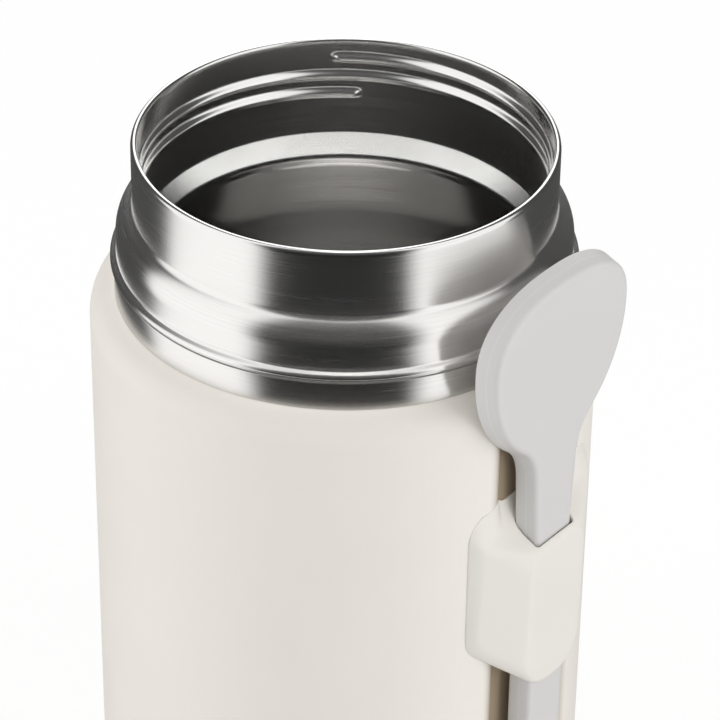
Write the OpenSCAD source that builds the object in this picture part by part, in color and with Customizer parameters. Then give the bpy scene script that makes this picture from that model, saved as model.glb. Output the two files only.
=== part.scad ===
// Insulated food jar, open, with a spoon carried in a channel on its side.
// Origin: centre of the underside. +Z is up, +X points at the spoon. Millimetres.

/* [Painted shell] */
// Outside diameter of the painted shell
body_d = 100; // [88:0.5:112]
// Height of the painted shell's top edge above the floor
shell_top_z = 128; // [115:0.5:145]
// Sheet thickness of the shell
shell_t = 0.6; // [0.4:0.05:0.9]
// Radius of the round shoulder at the top of the shell
shoulder_r = 6; // [5:0.25:8]
// How far the shell stands out past the neck's lowest band
body_step = 4.97; // [4.3:0.01:5.6]
// Radius of the bottom edge
foot_r = 3; // [2:0.25:4]
// Width of the flat rim that is turned in under the shell
foot_rim_w = 3; // [2:0.25:5]

/* [Neck ring] */
// Height of the bare steel neck above the shell
neck_h = 32; // [28:0.5:38]
// How far the collar below the neck's shoulder stands out past the upper neck
neck_step = 3.3; // [2.8:0.1:3.8]
// Sheet thickness of the neck ring
neck_t = 0.5; // [0.35:0.05:0.7]
// Length of the straight upper neck, from the rim to the corner above the shoulder
neck_straight = 13.9; // [11:0.1:15]
// Radius of the neck's round shoulder
neck_shoulder_r = 6.4; // [5.4:0.1:7.4]
// How far the lowest band stands out past the collar
band_step = 0.53; // [0.4:0.01:0.7]
// Height of the bead's middle above the painted shell
bead_up = 8.3; // [7:0.1:10]
// Radius of the bead's round
bead_r = 1.6; // [1.2:0.1:2]
// How far the bead stands out past the band above it
bead_out = 1.1; // [0.8:0.1:1.3]
// Radius of the groove under the bead
groove_r = 0.45; // [0.3:0.05:0.6]
// Length of the skirt that reaches down inside the shell
skirt_h = 5; // [3:0.5:8]

/* [Inner vessel] */
// Width of the rolled rim, from the mouth's wall to the neck's outside
rim_w = 1.3; // [1.1:0.05:1.6]
// Sheet thickness of the inner vessel
liner_t = 0.5; // [0.35:0.05:0.6]
// Height of the straight mouth wall, ledge to rim
mouth_h = 21.3; // [18:0.1:25]
// How far the ledge reaches in from the mouth's wall
ledge_w = 1.7; // [1:0.1:4]
// Height of the sloped ledge
ledge_h = 4.4; // [3:0.1:6]
// Height of the ledge's upright lip
lip_h = 1; // [0.5:0.1:2]
// Height of the slope under the lip, down to the food space
under_lip_h = 3.6; // [2.5:0.1:6]
// How far the wall of the food space lies outside the mouth's wall
vessel_step = 1.4; // [0:0.1:1.8]
// Height of the vessel's floor above the table
vessel_floor_z = 9.5; // [8:0.1:16]
// Inside radius between the vessel's wall and floor
vessel_corner_r = 9; // [5:0.5:15]

/* [Vacuum base] */
// Sheet thickness of the vacuum base
base_t = 0.8; // [0.6:0.05:1.2]
// Inside radius of the raised cup round the pumping hole
cup_r = 9; // [6:0.5:12]
// Height of the raised cup
cup_h = 2.6; // [2:0.1:3.4]
// Radius of the pumping hole
pump_hole_r = 1; // [0.6:0.1:1.6]
// Radius of the seal plug
plug_r = 4; // [3:0.25:5.5]
// Thickness of the seal plug
plug_t = 1.2; // [0.8:0.1:1.5]
// Radius of the getter pill
getter_r = 5; // [3:0.25:6]
// Thickness of the getter pill
getter_t = 2.6; // [1.5:0.1:3.5]
// Distance of the getter from the middle
getter_out = 22; // [18:0.5:30]

/* [Base pad] */
// Thickness of the pad under the foot rim
pad_t = 1.2; // [0.8:0.1:2]
// Distance that the pad stays inside the foot rim's outer edge
pad_inset = 0.2; // [0.1:0.1:1]

/* [Spoon channel] */
// Depth of the channel below the shell's surface
channel_depth = 3.8; // [3.4:0.1:4.4]
// Distance of each round lip's centre from the channel's middle
channel_lip_y = 13.6; // [12.8:0.1:15]
// Radius of the channel's round lips
channel_lip_r = 4.5; // [3.5:0.1:5]
// Height of the channel's foot, on which the spoon stands
channel_foot_z = 14; // [10:0.5:30]

/* [Spoon] */
// Overall length of the spoon
spoon_len = 136.5; // [126:0.1:150]
// Thickness of the spoon, back to front
spoon_t = 4.8; // [4.2:0.1:5.8]
// How much smaller the front outline is than the back outline, on each side
spoon_draft = 0.8; // [0.4:0.1:1.2]
// Width of the bowl's back
bowl_w = 43.2; // [38:0.2:48]
// Height of the bowl's top above its widest place
bowl_rise = 14.2; // [11:0.2:18]
// Squareness of the bowl's top, where 2 is an ellipse
bowl_power = 2.4; // [2:0.1:3]
// Radius of the bowl's sides below its widest place
bowl_side_r = 26.8; // [22:0.2:32]
// Radius of the blend from bowl to stem
bowl_neck_r = 12.2; // [9:0.2:18]
// Thickness of the bowl's floor at its middle
bowl_floor_t = 1.6; // [1.2:0.1:2.2]
// Width of the rim round the hollow
bowl_rim_w = 2; // [1.5:0.1:3]
// Radius of the hollow's dished floor
bowl_dish_r = 60; // [50:1:90]
// Width of the stem's back where the bowl begins
stem_top_w = 13.6; // [12.4:0.1:15]
// Width of the stem's back inside the holder and below
stem_low_w = 12; // [10.6:0.1:13.4]
// Height over which the stem widens below the bowl
stem_taper_h = 15; // [10:0.5:30]
// Radius of the front edge all round
spoon_front_r = 1.2; // [0.6:0.1:1.6]
// Radius of the back edge all round
spoon_back_r = 0.6; // [0.3:0.1:0.9]
// Radius of the corners at the stem's foot
stem_foot_r = 3; // [1:0.25:4]

/* [Spoon holder] */
// Width of the holder across the body
holder_w = 37.8; // [35:0.2:42]
// Height of the holder's top edge above the floor
holder_top_z = 103.2; // [94:0.2:108]
// Height of the holder, top edge to lowest point
holder_h = 46.5; // [42:0.1:60]
// Radius of the holder's top corners
holder_top_r = 7.2; // [5:0.2:10]
// Radius of the holder's bottom corners
holder_side_r = 6.5; // [5:0.25:10]
// Height of the bottom corners' centres above the holder's lowest point
holder_side_up = 16.1; // [12:0.1:20]
// Radius of the holder's chin
holder_chin_r = 8.4; // [6:0.2:10]
// Thickness of the holder's side edges where they meet the body
holder_edge_t = 1.2; // [0.6:0.1:2]
// Wall in front of the stem
holder_front_t = 1; // [0.9:0.1:2]
// Half width of the holder's front
front_y = 9.5; // [9:0.1:11]
// Distance from the holder's top edge down to the top of its front
front_drop = 11.2; // [9:0.1:14]
// Radius of the front's top corners
front_top_r = 6; // [4:0.25:8]
// Radius of the front's bottom corners
front_low_r = 8.5; // [5:0.25:9]
// Radius of the soft edge round the front
front_edge_r = 1.4; // [0.8:0.1:2]

/* [Finger scoop] */
// Radius of the scoop round the stem at the holder's top
scoop_r = 8.6; // [7:0.1:10]
// Height of the scoop's axis below the holder's top edge
scoop_drop = 3.1; // [1:0.1:4]
// Plastic left between the scoop and the channel's floor
scoop_wall = 0.4; // [0.3:0.05:0.8]
// Half width of the scoop's straight middle
scoop_y = 6.5; // [5:0.1:8]
// Radius of the scoop where it runs out at the holder's sides
scoop_end_r = 5.4; // [4:0.1:7]
// Depth of the dip in the top edge, where it crosses the channel
dip_h = 2; // [0.8:0.1:2.6]
// Half width of the dip at its floor
dip_y = 9.4; // [8:0.1:11]

/* [Holder clip] */
// Sheet thickness of the clip
clip_t = 0.7; // [0.5:0.05:0.8]
// Height of the clip
clip_h = 29; // [20:0.5:31]
// Plastic left between the stem's slot and each of the clip's uprights
clip_wall = 0.4; // [0.3:0.05:0.8]
// Height of the clip's uprights above the channel's floor
clip_rise = 1.1; // [0.9:0.05:1.4]
// Length of each of the clip's wings
clip_wing = 1.8; // [1.2:0.1:2.2]

/* [Fits] */
// Sliding clearance round the stem inside the holder
slide_gap = 0.3; // [0.2:0.05:0.4]
// Clearance between the spoon's back and the channel's lips
spoon_lip_gap = 0.3; // [0.2:0.05:0.6]
// Clearance between curved faces that seat on each other
seat_gap = 0.1; // [0.05:0.05:0.2]
// Radial clearance of the neck ring's skirt in the shell
skirt_gap = 0.05; // [0.02:0.01:0.1]

/* [Hidden] */
$fn = 96;
over = 1;
join = 0.01;

// heights
shell_bottom_z = pad_t;
plate_z = shell_bottom_z + shell_t;
rim_z = shell_top_z + neck_h;
bead_z = shell_top_z + bead_up;
ledge_top_z = rim_z - mouth_h;
lip_top_z = ledge_top_z - ledge_h;
lip_low_z = lip_top_z - lip_h;
food_top_z = lip_low_z - under_lip_h;

// radii, from the outside in
body_r = body_d / 2;
band_r = body_r - body_step;
collar_r = band_r - band_step;
neck_r = collar_r - neck_step;
neck_shoulder_z = rim_z - neck_straight
                - sqrt(pow(neck_shoulder_r, 2) - pow(neck_shoulder_r - neck_step, 2));
mouth_r = neck_r - rim_w;
ledge_r = mouth_r - ledge_w;
vessel_r = mouth_r + vessel_step;
far = 2 * (body_d + rim_z);

// shell
shoulder_in = body_r - shoulder_r;
shoulder_z = shell_top_z - sqrt(pow(shoulder_r, 2) - pow(max(band_r - shoulder_in, 0), 2));
shell_mouth_r = collar_r + skirt_gap;
foot_hole_r = body_r - foot_r - foot_rim_w;

// rolled rim of the mouth
roll_r = rim_w / 2;
roll_z = rim_z - roll_r;
neck_top_z = roll_z - liner_t;

// channel
channel_x = body_r - channel_depth;
lip_ring_r = body_r - channel_lip_r;
lip_angle = asin(channel_lip_y / lip_ring_r);
lip_x = lip_ring_r * cos(lip_angle);

// spoon
spoon_back_x = lip_x + channel_lip_r + spoon_lip_gap;
spoon_front_x = spoon_back_x + spoon_t;
bowl_top_z = channel_foot_z + spoon_len;
bowl_wide_z = bowl_top_z - bowl_rise;
stem_top_y = stem_top_w / 2;
stem_low_y = stem_low_w / 2;
side_turn = acos(1 - (bowl_w / 2 - stem_top_y) / (bowl_side_r + bowl_neck_r));
stem_top_z = bowl_wide_z - (bowl_side_r + bowl_neck_r) * sin(side_turn);

// holder and clip
holder_front_x = spoon_front_x + slide_gap + holder_front_t;
holder_low_z = holder_top_z - holder_h;
holder_y = holder_w / 2;
holder_back_x = sqrt(pow(body_r, 2) - pow(holder_y, 2)) + holder_edge_t;
front_top_z = holder_top_z - front_drop;
scoop_x = channel_x + scoop_wall + scoop_r;
clip_z = (holder_top_z + holder_low_z - clip_h) / 2;
clip_y = stem_top_y + slide_gap + clip_wall;
wing_x = channel_x + clip_rise;

// Points on an arc of radius r round c, from angle a0 to angle a1
function arc(c, r, a0, a1, steps) =
    [for (i = [0 : steps]) let (a = a0 + (a1 - a0) * i / steps) c + r * [cos(a), sin(a)]];

// A list without its first entry
function tail(points) = [for (i = [1 : len(points) - 1]) points[i]];

// The same points in reverse order
function reversed(points) = [for (i = [len(points) - 1 : -1 : 0]) points[i]];

// Half section of the whole painted body, drawn inset by a given amount
module shell_section(inset) {
    foot_z = shell_bottom_z + foot_r;
    translate([0, foot_z]) square([body_r - inset, shoulder_z - foot_z]);
    translate([shoulder_in, shoulder_z]) circle(shoulder_r - inset);
    translate([0, shoulder_z - join]) square([shoulder_in, shoulder_r - inset + join]);
    translate([body_r - foot_r, foot_z]) circle(foot_r - inset);
    translate([0, shell_bottom_z + inset]) square([body_r - foot_r, foot_r - inset + join]);
}

// Plan of the spoon channel, grown into the shell by a given amount
module channel_plan(grow = 0) {
    floor_x = channel_x - grow;
    reach = body_r + channel_lip_r;
    difference() {
        polygon([[floor_x, -floor_x * tan(lip_angle)], [reach, -reach * tan(lip_angle)],
                 [reach, reach * tan(lip_angle)], [floor_x, floor_x * tan(lip_angle)]]);
        for (s = [-1, 1])
            translate([lip_x, s * channel_lip_y]) circle(channel_lip_r - grow);
    }
}

module channel(grow = 0) {
    translate([0, 0, channel_foot_z - grow]) linear_extrude(rim_z) channel_plan(grow);
}

module outer_shell() {
    color("#e6e2d9")
    difference() {
        difference() {
            rotate_extrude() intersection() {
                shell_section(0);
                square([body_r, shell_top_z]);
            }
            channel();
        }
        difference() {
            rotate_extrude() intersection() {
                shell_section(shell_t);
                square([body_r, far]);
            }
            channel(shell_t);
        }
        translate([0, 0, shoulder_z]) cylinder(r = shell_mouth_r, h = far);
        translate([0, 0, shell_bottom_z - over]) cylinder(r = foot_hole_r, h = shell_t + 2 * over);
    }
}

// Outer half section of the neck ring, skirt to rim
module neck_outer_section() {
    shoulder_in_r = collar_r - neck_shoulder_r;
    translate([0, shell_top_z - skirt_h]) square([collar_r, neck_shoulder_z - shell_top_z + skirt_h]);
    translate([0, shell_top_z]) square([band_r, bead_z - shell_top_z]);
    translate([collar_r + bead_out - bead_r, bead_z]) circle(bead_r);
    translate([shoulder_in_r, neck_shoulder_z]) circle(neck_shoulder_r);
    translate([0, neck_shoulder_z - join]) square([shoulder_in_r, neck_shoulder_r + join]);
    translate([0, neck_shoulder_z - join]) square([neck_r, neck_top_z - neck_shoulder_z + join]);
}

module neck_ring() {
    skirt_z = shell_top_z - skirt_h - over;
    color("#c9c8c4")
    difference() {
        rotate_extrude() intersection() {
            difference() {
                neck_outer_section();
                translate([band_r, bead_z - bead_r + groove_r]) circle(groove_r);
            }
            square([far, far]);
        }
        translate([0, 0, skirt_z]) cylinder(r = collar_r - neck_t, h = neck_shoulder_z - skirt_z);
        rotate_extrude() intersection() {
            translate([collar_r - neck_shoulder_r, neck_shoulder_z]) circle(neck_shoulder_r - neck_t);
            square([far, far]);
        }
        translate([0, 0, neck_shoulder_z - over]) cylinder(r = neck_r - neck_t, h = far);
    }
}

// Half section of the space inside the vessel, grown outwards by a given amount
module vessel_section(grow) {
    wall_r = vessel_r + grow;
    lip_r = ledge_r + grow;
    throat_r = mouth_r + grow;
    corner_z = vessel_floor_z + vessel_corner_r;
    translate([0, corner_z]) square([wall_r, food_top_z - corner_z]);
    translate([vessel_r - vessel_corner_r, corner_z]) circle(vessel_corner_r + grow);
    translate([0, vessel_floor_z - grow])
        square([vessel_r - vessel_corner_r, vessel_corner_r + grow + join]);
    polygon([[0, food_top_z - join], [wall_r, food_top_z - join], [wall_r, food_top_z],
             [lip_r, lip_low_z], [lip_r, lip_top_z], [throat_r, ledge_top_z], [0, ledge_top_z]]);
    translate([0, ledge_top_z - join]) square([throat_r, roll_z - ledge_top_z + join]);
}

// Half section of the vessel's rim, rolled out over the neck ring's top edge
module rim_section() {
    translate([mouth_r, neck_top_z]) square([rim_w, liner_t]);
    intersection() {
        translate([mouth_r + roll_r, roll_z]) circle(roll_r);
        translate([mouth_r, neck_top_z]) square([rim_w, rim_z - neck_top_z]);
    }
}

module inner_vessel() {
    color("#8f8e8b")
    difference() {
        rotate_extrude() intersection() {
            union() {
                vessel_section(liner_t);
                rim_section();
            }
            square([far, far]);
        }
        rotate_extrude() intersection() {
            union() {
                vessel_section(0);
                translate([0, roll_z - join]) square([mouth_r, far]);
            }
            square([far, far]);
        }
    }
}

module vacuum_base() {
    color("#b9b8b4")
    difference() {
        union() {
            translate([0, 0, plate_z]) cylinder(r = body_r - foot_r - seat_gap, h = base_t);
            translate([0, 0, plate_z]) cylinder(r = cup_r + base_t, h = cup_h + base_t);
        }
        translate([0, 0, plate_z - over]) cylinder(r = cup_r, h = cup_h + over);
        translate([0, 0, plate_z]) cylinder(r = pump_hole_r, h = cup_h + base_t + over);
    }
}

module getter() {
    color("#77716a")
    translate([getter_out, 0, plate_z + base_t]) cylinder(r = getter_r, h = getter_t);
}

module seal_plug() {
    color("#3f4a52")
    translate([0, 0, plate_z + cup_h - plug_t]) cylinder(r = plug_r, h = plug_t);
}

module base_pad() {
    color("#55534f")
    union() {
        cylinder(r = body_r - foot_r - pad_inset, h = pad_t);
        cylinder(r = foot_hole_r - seat_gap, h = plate_z);
    }
}

// Plan of the clip: a strip on the channel's floor with two uprights and a wing on each
module clip_plan(grow = 0) {
    side_y = clip_y + clip_t;
    translate([channel_x - grow, -side_y - grow])
        square([clip_t + 2 * grow, 2 * (side_y + grow)]);
    for (s = [0, 1]) mirror([0, s]) {
        translate([channel_x - grow, clip_y - grow])
            square([clip_rise + clip_t + 2 * grow, clip_t + 2 * grow]);
        translate([wing_x - grow, clip_y - grow])
            square([clip_t + 2 * grow, clip_t + clip_wing + 2 * grow]);
    }
}

module holder_clip() {
    color("#a7a6a2")
    translate([0, 0, clip_z]) linear_extrude(clip_h) clip_plan();
}

// Front view of the holder's back: two corners above, two below and the chin
module holder_outline() {
    for (s = [-1, 1]) {
        translate([s * (holder_y - holder_top_r), holder_top_z - holder_top_r]) circle(holder_top_r);
        translate([s * (holder_y - holder_side_r), holder_low_z + holder_side_up])
            circle(holder_side_r);
    }
    translate([0, holder_low_z + holder_chin_r]) circle(holder_chin_r);
}

// One corner of the holder's front, a disc with a round edge
module front_corner(y, z, r) {
    translate([holder_front_x - front_edge_r, y, z]) rotate([0, 90, 0])
        rotate_extrude() translate([r - front_edge_r, 0]) circle(front_edge_r, $fn = 24);
}

// The holder's outside, stretched from its outline at the body to its smaller front
module holder_form() {
    hull() {
        translate([channel_x - over, 0, 0]) rotate([90, 0, 90])
            linear_extrude(holder_back_x - channel_x + over) holder_outline();
        for (s = [-1, 1]) {
            front_corner(s * (front_y - front_top_r), front_top_z - front_top_r, front_top_r);
            front_corner(s * (front_y - front_low_r), holder_low_z + front_low_r, front_low_r);
        }
    }
}

// Half section of the scoop, from its axis out, narrower towards the holder's sides
module scoop_section() {
    end_y = holder_y + over;
    polygon([[0, -end_y], [scoop_end_r, -end_y], [scoop_r, -scoop_y],
             [scoop_r, scoop_y], [scoop_end_r, end_y], [0, end_y]]);
}

// The scoop round the stem and the dip where the top edge crosses the channel
module finger_scoop() {
    translate([scoop_x, 0, holder_top_z - scoop_drop]) rotate([90, 0, 0])
        rotate_extrude() scoop_section();
    rotate([90, 0, 90]) linear_extrude(body_d)
        polygon([[-dip_y, holder_top_z - dip_h], [dip_y, holder_top_z - dip_h],
                 [dip_y + 2 * dip_h, holder_top_z + dip_h], [-dip_y - 2 * dip_h, holder_top_z + dip_h]]);
}

// Plan of the shell as the holder meets it: the holder fills the channel to its floor
module shell_plan() {
    difference() {
        circle(body_r + seat_gap);
        difference() {
            channel_plan();
            for (s = [-1, 1])
                translate([lip_x, s * channel_lip_y]) circle(channel_lip_r + 2 * seat_gap);
        }
    }
}

// Plan of the stem's slot, wide enough for the widest part of the stem
module slot_plan() {
    back_y = stem_top_y + slide_gap;
    front_y = back_y - spoon_draft;
    front_x = spoon_front_x + slide_gap;
    polygon([[channel_x - over, -back_y], [spoon_back_x, -back_y], [front_x, -front_y],
             [front_x, front_y], [spoon_back_x, back_y], [channel_x - over, back_y]]);
}

module spoon_holder() {
    color("#e6e2d9")
    difference() {
        holder_form();
        linear_extrude(rim_z) shell_plan();
        linear_extrude(rim_z) slot_plan();
        finger_scoop();
        translate([0, 0, clip_z - seat_gap]) linear_extrude(clip_h + 2 * seat_gap) clip_plan(seat_gap);
    }
}

// One side of the spoon's outline as [y, z], foot to top, inset by a given amount
function spoon_side(inset) = concat(
    arc([stem_low_y - stem_foot_r, channel_foot_z + stem_foot_r], stem_foot_r - inset, 270, 360, 6),
    [[stem_low_y - inset, stem_top_z - stem_taper_h]],
    arc([stem_top_y + bowl_neck_r, stem_top_z], bowl_neck_r + inset, 180, 180 - side_turn, 10),
    tail(arc([bowl_w / 2 - bowl_side_r, bowl_wide_z], bowl_side_r - inset, -side_turn, 0, 14)),
    tail(bowl_top(inset, 24)));

// Points on the bowl's squarish top, from its widest place to its middle
function bowl_top(inset, steps) =
    [for (i = [0 : steps])
        let (a = 90 * i / steps)
        [(bowl_w / 2 - inset) * pow(cos(a), 2 / bowl_power),
         bowl_wide_z + (bowl_rise - inset) * pow(sin(a), 2 / bowl_power)]];

// The whole outline: up one side, over the top and down the other
function spoon_loop(inset) =
    let (side = spoon_side(inset))
    concat(side, [for (p = tail(reversed(side))) [-p[0], p[1]]]);

// The spoon's edge as [x, inset], back to front: round, drafted side, larger round
function spoon_edge() = concat(
    [for (p = arc([spoon_back_r, spoon_back_r], spoon_back_r, 270, 180, 4)) [spoon_back_x + p[1], p[0]]],
    [for (p = arc([spoon_draft + spoon_front_r, spoon_t - spoon_front_r], spoon_front_r, 180, 90, 6))
        [spoon_back_x + p[1], p[0]]]);

// Faces that close a ring of n points, each a strip straight across from side to side
function cap(first, n) =
    [for (i = [0 : (n - 3) / 2])
        let (strip = i < (n - 3) / 2 ? [i, i + 1, n - 2 - i, n - 1 - i] : [i, i + 1, n - 1 - i])
        [for (p = strip) first + p]];

// The spoon without its hollow, lofted from ring to ring
module spoon_blank() {
    rings = [for (e = spoon_edge()) [for (p = spoon_loop(e[1])) [e[0], p[0], p[1]]]];
    n = len(rings[0]);
    sides = [for (k = [0 : len(rings) - 2], i = [0 : n - 1])
        let (j = (i + 1) % n)
        [k * n + i, (k + 1) * n + i, (k + 1) * n + j, k * n + j]];
    front = [for (strip = cap((len(rings) - 1) * n, n)) reversed(strip)];
    polyhedron([for (ring = rings) each ring], concat(cap(0, n), sides, front));
}

// The hollow of the bowl, which faces the jar
module bowl_hollow() {
    intersection() {
        translate([spoon_back_x - over, 0, 0]) rotate([90, 0, 90]) linear_extrude(spoon_t)
            polygon(spoon_loop(bowl_rim_w));
        translate([spoon_front_x - bowl_floor_t - bowl_dish_r, 0, bowl_wide_z]) sphere(bowl_dish_r);
        translate([0, -bowl_w, stem_top_z + bowl_neck_r]) cube([far, 2 * bowl_w, bowl_top_z]);
    }
}

module spoon() {
    color("#cfcdca")
    difference() {
        spoon_blank();
        bowl_hollow();
    }
}

outer_shell();
neck_ring();
inner_vessel();
vacuum_base();
getter();
seal_plug();
base_pad();
holder_clip();
spoon_holder();
spoon();
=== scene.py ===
import math

import bmesh
import bpy
from bpy.props import FloatProperty, FloatVectorProperty, IntProperty, PointerProperty
from mathutils import Matrix, Vector
from mathutils.bvhtree import BVHTree
from mathutils.geometry import convex_hull_2d, interpolate_bezier


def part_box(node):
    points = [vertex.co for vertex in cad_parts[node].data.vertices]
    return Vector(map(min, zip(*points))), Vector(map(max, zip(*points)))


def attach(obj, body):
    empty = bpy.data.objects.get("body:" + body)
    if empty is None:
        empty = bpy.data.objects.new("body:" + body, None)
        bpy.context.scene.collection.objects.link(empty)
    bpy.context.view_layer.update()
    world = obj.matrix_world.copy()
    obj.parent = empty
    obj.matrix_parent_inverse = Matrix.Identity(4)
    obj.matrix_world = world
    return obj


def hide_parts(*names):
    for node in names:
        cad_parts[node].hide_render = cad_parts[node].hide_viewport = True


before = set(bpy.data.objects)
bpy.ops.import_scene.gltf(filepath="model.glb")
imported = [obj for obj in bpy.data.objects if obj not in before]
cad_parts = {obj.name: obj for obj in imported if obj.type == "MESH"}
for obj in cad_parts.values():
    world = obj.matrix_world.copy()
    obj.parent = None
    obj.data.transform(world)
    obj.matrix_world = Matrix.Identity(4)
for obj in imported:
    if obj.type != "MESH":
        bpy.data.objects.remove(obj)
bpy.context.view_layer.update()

bl_info = {
    "name": "Insulated Food Jar",
    "version": (1, 0, 0),
    "blender": (4, 5, 0),
    "location": "3D View > Sidebar > Food Jar",
    "description": "Steel food jar with a painted shell and a spoon in a holder on its side",
    "category": "Add Mesh",
}

SHELL_TOP = float(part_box("outer_shell")[1][2])
RIM_TOP = float(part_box("inner_vessel")[1][2])
NECK_FOOT, NECK_TOP = (float(corner[2]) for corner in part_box("neck_ring"))
PAD_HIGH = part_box("base_pad")[1]
SPOON_LOW, SPOON_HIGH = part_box("spoon")
CHANNEL_FOOT = float(SPOON_LOW[2])
FULL_TURN = math.tau
WELD = 1e-6

# sockets of a Mix node that mixes colours
MIX_FIRST, MIX_SECOND, MIX_RESULT = 6, 7, 2
# most of a noise texture's values lie between these
NOISE_LOW, NOISE_HIGH = 0.3, 0.7


# ---------------------------------------------------------------- settings

def length(name, text, default):
    return FloatProperty(name=name, description=text, default=default, min=0.0, unit="LENGTH",
                         precision=5)


def colour(name, text, default):
    return FloatVectorProperty(name=name, description=text, default=default, size=4,
                               subtype="COLOR", min=0.0, max=1.0)


def amount(name, text, default):
    return FloatProperty(name=name, description=text, default=default, min=0.0, max=1.0,
                         subtype="FACTOR")


class NeckSizes(bpy.types.PropertyGroup):
    """Sizes of the bare steel neck"""
    radius: length("Neck radius", "Outside radius of the straight upper neck", 0.0412)
    collar: length("Collar radius", "Outside radius below the round shoulder", 0.0445)
    band: length("Band radius", "Outside radius of the lowest band", 0.04503)
    top: length("Top", "Height where the rolled rim begins", NECK_TOP)
    corner: length("Corner height", "Height of the corner above the shoulder", 0.1461)
    shoulder: length("Shoulder radius", "Radius of the round shoulder", 0.0064)
    bead: length("Bead height", "Height of the bead's middle", 0.1357)
    bead_radius: length("Bead radius", "Half height of the bead", 0.0010)
    bead_out: length("Bead reach", "How far the bead stands out past the collar", 0.0012)
    groove: length("Groove radius", "Radius of the groove under the bead", 0.00045)
    wall: length("Sheet", "Sheet thickness", 0.0005)
    steps: IntProperty(name="Steps", description="Steps round the neck", default=256, min=24)


class VesselSizes(bpy.types.PropertyGroup):
    """Sizes of the steel inner vessel and its thread"""
    mouth: length("Mouth radius", "Inside radius of the mouth", 0.0399)
    ledge: length("Ledge radius", "Inside radius of the ledge's lip", 0.0382)
    wall_radius: length("Wall radius", "Inside radius of the food space", 0.0413)
    ledge_top: length("Ledge top", "Height of the ledge's top", 0.1387)
    lip_top: length("Lip top", "Height of the lip's top", 0.1343)
    lip_low: length("Lip bottom", "Height of the lip's bottom", 0.1333)
    food_top: length("Food space top", "Height of the top of the straight wall", 0.1297)
    taper: length("Taper", "Height of the taper at the top of the wall", 0.0092)
    undercut: length("Undercut", "How far the taper's top lies behind the lip", 0.0012)
    floor: length("Floor", "Height of the vessel's floor", 0.0095)
    corner: length("Corner", "Radius between wall and floor", 0.009)
    wall: length("Sheet", "Sheet thickness", 0.0005)
    roll: length("Roll", "Radius of the rolled rim", 0.00065)
    pitch: length("Thread pitch", "Drop of the thread in one turn", 0.00405)
    thread_top: length("Thread start", "Height of the thread's start", 0.1560)
    thread_width: length("Thread width", "Width of the thread's rib", 0.0026)
    thread_depth: length("Thread depth", "How far the rib stands into the mouth", 0.0010)
    steps: IntProperty(name="Steps", description="Steps round the vessel", default=384, min=24)


class HolderSizes(bpy.types.PropertyGroup):
    """Sizes of the spoon holder's moulded body"""
    slot_back: length("Slot back", "Distance from the axis to the slot's back wall", 0.04802)
    slot_front: length("Slot front", "Distance from the axis to the slot's front wall", 0.05332)
    back_half: length("Slot back half width", "Half width of the slot at the back", 0.00692)
    front_half: length("Slot front half width", "Half width of the slot at the front", 0.00608)
    slot_corner: length("Slot corner", "Radius of the slot's corners", 0.0009)
    soft_edge: length("Soft edge", "Width of the soft edge round the slot", 0.00040)
    slot_end: length("Slot pocket", "Height where the upper part of the slot ends", 0.0630)
    floor: length("Channel floor", "Distance from the axis to the channel's floor", 0.0462)
    lip_out: length("Lip middle", "Distance from the axis to the middle of a lip's round", 0.04342)
    lip_side: length("Lip side", "Side distance of the middle of a lip's round", 0.0136)
    lip_radius: length("Lip radius", "Radius of a lip's round", 0.0045)
    shell: length("Shell radius", "Outside radius of the shell", 0.0500)
    middle: length("Mouth middle", "Height the rows start from round the slot", 0.0935)
    blend: length("Blend", "Softness between the front and the top", 0.0016)
    lip_fade: length("Lip fade", "Height over the shell where the lips stop showing", 0.0024)
    top_base: length("Top base", "Distance from the axis the top surface rises from", 0.0466)
    thin: length("Edge thinning", "How much thinner the edge is than the body's sides", 0.0009)
    thin_width: length("Thinning width", "Width of the strip that thins to the edge", 0.0025)
    columns: IntProperty(name="Columns", description="Columns round the slot", default=144, min=24)
    rows: IntProperty(name="Rows", description="Rows from the slot to the edge", default=40, min=8)


class JarFinish(bpy.types.PropertyGroup):
    """Colours and gloss of the jar"""
    paint: colour("Paint", "Colour of the powder coat", (0.775, 0.742, 0.688, 1.0))
    holder: colour("Holder plastic", "Colour of the holder", (0.740, 0.713, 0.664, 1.0))
    spoon: colour("Spoon plastic", "Colour of the spoon", (0.600, 0.592, 0.584, 1.0))
    steel: colour("Steel", "Colour of the brushed steel", (0.62, 0.61, 0.595, 1.0))
    liner: colour("Liner steel", "Colour of the steel inside", (0.60, 0.595, 0.585, 1.0))
    pad: colour("Pad rubber", "Colour of the base pad", (0.09, 0.088, 0.084, 1.0))
    brushing: amount("Brushing", "Roughness across the brushed lines", 0.25)


class JarStage(bpy.types.PropertyGroup):
    """Camera and studio light"""
    camera_height: FloatProperty(name="Camera pitch", description="How far the camera looks down",
                                 default=math.radians(33.66), subtype="ANGLE")
    camera_turn: FloatProperty(name="Camera turn", description="Direction of the view from above",
                               default=math.radians(128.50), subtype="ANGLE")
    camera_roll: FloatProperty(name="Camera roll", description="Tilt of the picture",
                               default=math.radians(0.81), subtype="ANGLE")
    distance: length("Distance", "Distance from the camera to its aim", 0.702)
    lens: FloatProperty(name="Lens", description="Focal length", default=176.35, unit="CAMERA")
    aim: FloatVectorProperty(name="Aim", description="Point in the middle of the picture",
                             default=(0.00256, 0.00204, 0.10935), subtype="TRANSLATION",
                             unit="LENGTH")


# ---------------------------------------------------------------- mesh helpers

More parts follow.
